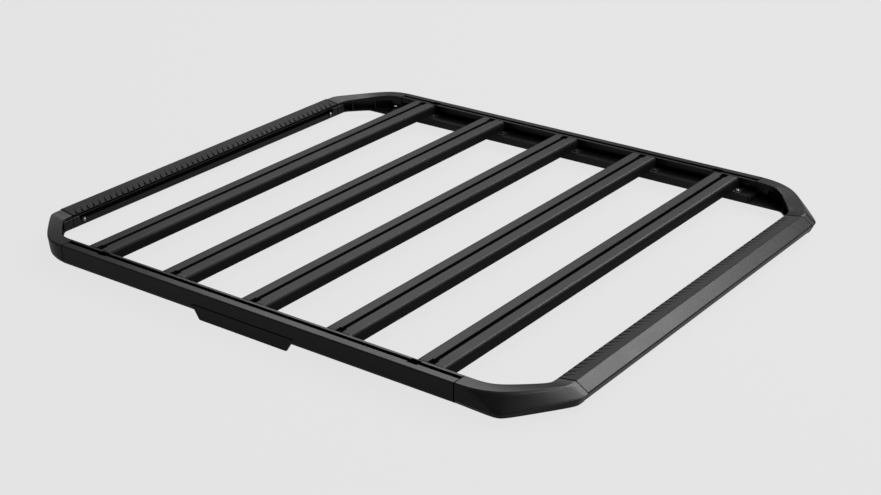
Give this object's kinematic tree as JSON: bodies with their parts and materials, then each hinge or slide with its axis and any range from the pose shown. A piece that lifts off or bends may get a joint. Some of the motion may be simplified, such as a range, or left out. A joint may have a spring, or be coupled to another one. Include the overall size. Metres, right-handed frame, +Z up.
{
  "type": "roof platform rack",
  "caption": "Low-profile black aluminium roof platform: slotted side rails and crossbars, chamfered cast corners, a sloping front rail, a plain rear rail and ribbed grips.",
  "frame": {"origin": "under the middle of the platform, level with the underside of the side plates", "axes": "+X to the front along the side rails, +Y to the left along the crossbars, +Z up"},
  "size_m": [1.483, 1.275, 0.063],
  "materials": {
    "rail_finish": "satin black powder coat",
    "bar_finish": "satin black powder coat",
    "corner_finish": "satin black powder coat",
    "bracket_finish": "matt black",
    "plate_finish": "satin black",
    "grip_rubber": "matt"
  },
  "bodies": {
    "root": {"side_rail_right": "rail_finish", "side_rail_left": "rail_finish", "front_rail": "rail_finish", "rear_rail": "rail_finish", "crossbar_1": "bar_finish", "crossbar_2": "bar_finish", "crossbar_3": "bar_finish", "crossbar_4": "bar_finish", "crossbar_5": "bar_finish", "corner_front_right": "corner_finish", "corner_front_left": "corner_finish", "corner_rear_right": "corner_finish", "corner_rear_left": "corner_finish", "crossbar_1_bracket_right": "bracket_finish", "crossbar_1_bracket_left": "bracket_finish", "crossbar_2_bracket_right": "bracket_finish", "crossbar_2_bracket_left": "bracket_finish", "crossbar_3_bracket_right": "bracket_finish", "crossbar_3_bracket_left": "bracket_finish", "crossbar_4_bracket_right": "bracket_finish", "crossbar_4_bracket_left": "bracket_finish", "crossbar_5_bracket_right": "bracket_finish", "crossbar_5_bracket_left": "bracket_finish", "front_grip": "grip_rubber", "rear_grip": "grip_rubber", "side_plate_right": "plate_finish", "side_plate_left": "plate_finish"}
  },
  "joints": []
}
